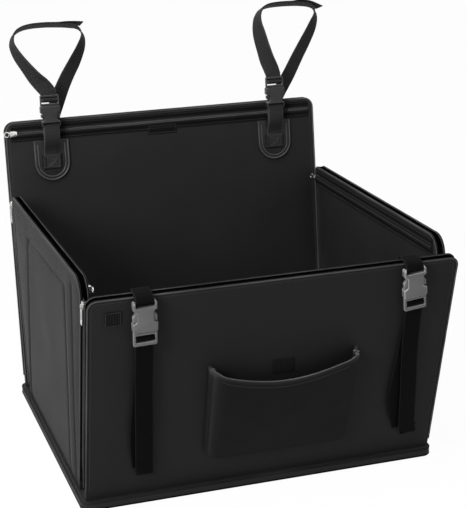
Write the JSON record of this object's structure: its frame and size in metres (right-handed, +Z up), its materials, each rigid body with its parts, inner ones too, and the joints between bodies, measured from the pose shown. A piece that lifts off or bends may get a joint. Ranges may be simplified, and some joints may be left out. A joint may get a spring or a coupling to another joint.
{
  "type": "dog car seat",
  "caption": "Foldable dog car booster seat: black cloth box with zipped corners, front pocket, buckled front straps and adjustable headrest loops.",
  "frame": {"origin": "centre of the base's underside", "axes": "+Z up, -Y towards the low front wall with the pocket, +X to the right seen from the front"},
  "size_m": [0.5164, 0.5648, 0.5648],
  "materials": {
    "cloth": "plain-woven coated cloth, matt",
    "patch": "smooth reinforced cloth and hook tape, matt",
    "board": "smooth board, hidden inside the covers",
    "zipper_tape": "woven tape with a nylon coil",
    "chrome": "polished plated metal",
    "buckle_plastic": "moulded plastic, satin",
    "webbing": "woven webbing, ribbed across"
  },
  "bodies": {
    "base": {"base_board": "board", "base_cover": "cloth"},
    "front_wall": {"front_wall_board": "board", "front_wall_cover": "cloth", "front_wall_zipper": "zipper_tape", "front_left_zipper_front_half": "zipper_tape", "front_right_zipper_front_half": "zipper_tape", "front_pocket": "cloth", "pocket_hook_patch": "patch", "left_front_strap_anchor": "webbing", "left_front_strap_socket": "buckle_plastic", "left_front_strap_tail": "webbing", "right_front_strap_anchor": "webbing", "right_front_strap_socket": "buckle_plastic", "right_front_strap_tail": "webbing"},
    "back_wall": {"back_wall_board": "board", "back_wall_cover": "cloth", "back_wall_zipper": "zipper_tape", "back_left_zipper_back_half": "zipper_tape", "back_right_zipper_back_half": "zipper_tape", "left_head_strap_patch": "patch", "left_head_strap_stub": "webbing", "left_head_strap_socket": "buckle_plastic", "left_head_strap_loop": "webbing", "right_head_strap_patch": "patch", "right_head_strap_stub": "webbing", "right_head_strap_socket": "buckle_plastic", "right_head_strap_loop": "webbing"},
    "left_wall": {"left_wall_board": "board", "left_wall_cover": "cloth", "left_wall_zipper": "zipper_tape", "front_left_zipper_side_half": "zipper_tape", "back_left_zipper_side_half": "zipper_tape"},
    "right_wall": {"right_wall_board": "board", "right_wall_cover": "cloth", "right_wall_zipper": "zipper_tape", "front_right_zipper_side_half": "zipper_tape", "back_right_zipper_side_half": "zipper_tape"},
    "front_wall_zipper_slider": {"front_wall_zipper_slider": "chrome"},
    "front_wall_zipper_puller": {"front_wall_zipper_puller": "chrome"},
    "back_wall_zipper_slider": {"back_wall_zipper_slider": "chrome"},
    "back_wall_zipper_puller": {"back_wall_zipper_puller": "chrome"},
    "left_wall_zipper_slider": {"left_wall_zipper_slider": "chrome"},
    "left_wall_zipper_puller": {"left_wall_zipper_puller": "chrome"},
    "right_wall_zipper_slider": {"right_wall_zipper_slider": "chrome"},
    "right_wall_zipper_puller": {"right_wall_zipper_puller": "chrome"},
    "front_left_corner_slider": {"front_left_corner_slider": "chrome"},
    "front_left_corner_puller": {"front_left_corner_puller": "chrome"},
    "back_left_corner_slider": {"back_left_corner_slider": "chrome"},
    "back_left_corner_puller": {"back_left_corner_puller": "chrome"},
    "front_right_corner_slider": {"front_right_corner_slider": "chrome"},
    "front_right_corner_puller": {"front_right_corner_puller": "chrome"},
    "back_right_corner_slider": {"back_right_corner_slider": "chrome"},
    "back_right_corner_puller": {"back_right_corner_puller": "chrome"},
    "left_head_strap_clip": {"left_head_strap_clip": "buckle_plastic"},
    "right_head_strap_clip": {"right_head_strap_clip": "buckle_plastic"},
    "left_front_strap_clip": {"left_front_strap_clip": "buckle_plastic"},
    "right_front_strap_clip": {"right_front_strap_clip": "buckle_plastic"}
  },
  "joints": [
    {"name": "front_wall_fold", "type": "hinge", "parent": "base", "child": "front_wall", "pos_m": [0, -0.202, 0.0123], "axis": [1, 0, 0], "range_deg": [0, 75]},
    {"name": "back_wall_fold", "type": "hinge", "parent": "base", "child": "back_wall", "pos_m": [0, 0.202, 0.0123], "axis": [-1, 0, 0], "range_deg": [0, 79]},
    {"name": "left_wall_fold", "type": "hinge", "parent": "base", "child": "left_wall", "pos_m": [-0.245, 0, 0.0123], "axis": [0, -1, 0], "range_deg": [0, 86]},
    {"name": "right_wall_fold", "type": "hinge", "parent": "base", "child": "right_wall", "pos_m": [0.245, 0, 0.0123], "axis": [0, 1, 0], "range_deg": [0, 86]},
    {"name": "front_wall_zipper_slider_slide", "type": "slide", "parent": "front_wall", "child": "front_wall_zipper_slider", "axis": [-1, 0, 0], "range_m": [0, 0.4454]},
    {"name": "front_wall_zipper_puller_lift", "type": "hinge", "parent": "front_wall_zipper_slider", "child": "front_wall_zipper_puller", "pos_m": [0.22511, -0.24838, 0.30213], "axis": [0, 0.2164, -0.9763], "range_deg": [-160, 0]},
    {"name": "back_wall_zipper_slider_slide", "type": "slide", "parent": "back_wall", "child": "back_wall_zipper_slider", "axis": [1, 0, 0], "range_m": [0, 0.4633]},
    {"name": "back_wall_zipper_puller_lift", "type": "hinge", "parent": "back_wall_zipper_slider", "child": "back_wall_zipper_puller", "pos_m": [-0.2341, 0.24127, 0.3977], "axis": [0, -0.1461, -0.9893], "range_deg": [-160, 0]},
    {"name": "left_wall_zipper_slider_slide", "type": "slide", "parent": "left_wall", "child": "left_wall_zipper_slider", "axis": [0.0003, 0.9993, -0.0381], "range_m": [0, 0.4084]},
    {"name": "left_wall_zipper_puller_lift", "type": "hinge", "parent": "left_wall_zipper_slider", "child": "left_wall_zipper_puller", "pos_m": [-0.22965, -0.21403, 0.31259], "axis": [0.007, -0.0381, -0.9992], "range_deg": [-160, 0]},
    {"name": "right_wall_zipper_slider_slide", "type": "slide", "parent": "right_wall", "child": "right_wall_zipper_slider", "axis": [0.0003, -0.9993, 0.0381], "range_m": [0, 0.4084]},
    {"name": "right_wall_zipper_puller_lift", "type": "hinge", "parent": "right_wall_zipper_slider", "child": "right_wall_zipper_puller", "pos_m": [0.22954, 0.19891, 0.29682], "axis": [-0.007, -0.0381, -0.9992], "range_deg": [-160, 0]},
    {"name": "front_left_corner_slider_slide", "type": "slide", "parent": "front_wall", "child": "front_left_corner_slider", "axis": [0.0068, 0.2164, -0.9763], "range_m": [0, 0.259]},
    {"name": "front_left_corner_puller_lift", "type": "hinge", "parent": "front_left_corner_slider", "child": "front_left_corner_puller", "pos_m": [-0.24841, -0.24127, 0.30029], "axis": [0.0015, -0.9763, -0.2164], "range_deg": [-160, 0]},
    {"name": "back_left_corner_slider_slide", "type": "slide", "parent": "back_wall", "child": "back_left_corner_slider", "axis": [0.0069, -0.1461, -0.9892], "range_m": [0, 0.2499]},
    {"name": "back_left_corner_puller_lift", "type": "hinge", "parent": "back_left_corner_slider", "child": "back_left_corner_puller", "pos_m": [-0.24838, 0.21952, 0.29522], "axis": [-0.001, -0.9893, 0.1461], "range_deg": [-160, 0]},
    {"name": "front_right_corner_slider_slide", "type": "slide", "parent": "front_wall", "child": "front_right_corner_slider", "axis": [-0.0068, 0.2164, -0.9763], "range_m": [0, 0.259]},
    {"name": "front_right_corner_puller_lift", "type": "hinge", "parent": "front_right_corner_slider", "child": "front_right_corner_puller", "pos_m": [0.24841, -0.24127, 0.30029], "axis": [0.0015, 0.9763, 0.2164], "range_deg": [-160, 0]},
    {"name": "back_right_corner_slider_slide", "type": "slide", "parent": "back_wall", "child": "back_right_corner_slider", "axis": [-0.0069, -0.1461, -0.9892], "range_m": [0, 0.2499]},
    {"name": "back_right_corner_puller_lift", "type": "hinge", "parent": "back_right_corner_slider", "child": "back_right_corner_puller", "pos_m": [0.24838, 0.21952, 0.29522], "axis": [-0.001, 0.9893, -0.1461], "range_deg": [-160, 0]},
    {"name": "left_head_strap_clip_release", "type": "slide", "parent": "back_wall", "child": "left_head_strap_clip", "axis": [0, 0.1115, 0.9938], "range_m": [0, 0.03], "deforming": ["left_head_strap_clip", "left_head_strap_loop"]},
    {"name": "right_head_strap_clip_release", "type": "slide", "parent": "back_wall", "child": "right_head_strap_clip", "axis": [0, 0.1115, 0.9938], "range_m": [0, 0.03], "deforming": ["right_head_strap_clip", "right_head_strap_loop"]},
    {"name": "left_front_strap_clip_release", "type": "slide", "parent": "front_wall", "child": "left_front_strap_clip", "axis": [0.0349, 0.1649, -0.9857], "range_m": [0, 0.03], "deforming": ["left_front_strap_clip", "left_front_strap_tail"]},
    {"name": "right_front_strap_clip_release", "type": "slide", "parent": "front_wall", "child": "right_front_strap_clip", "axis": [0.1217, 0.1634, -0.979], "range_m": [0, 0.03], "deforming": ["right_front_strap_clip", "right_front_strap_tail"]}
  ]
}
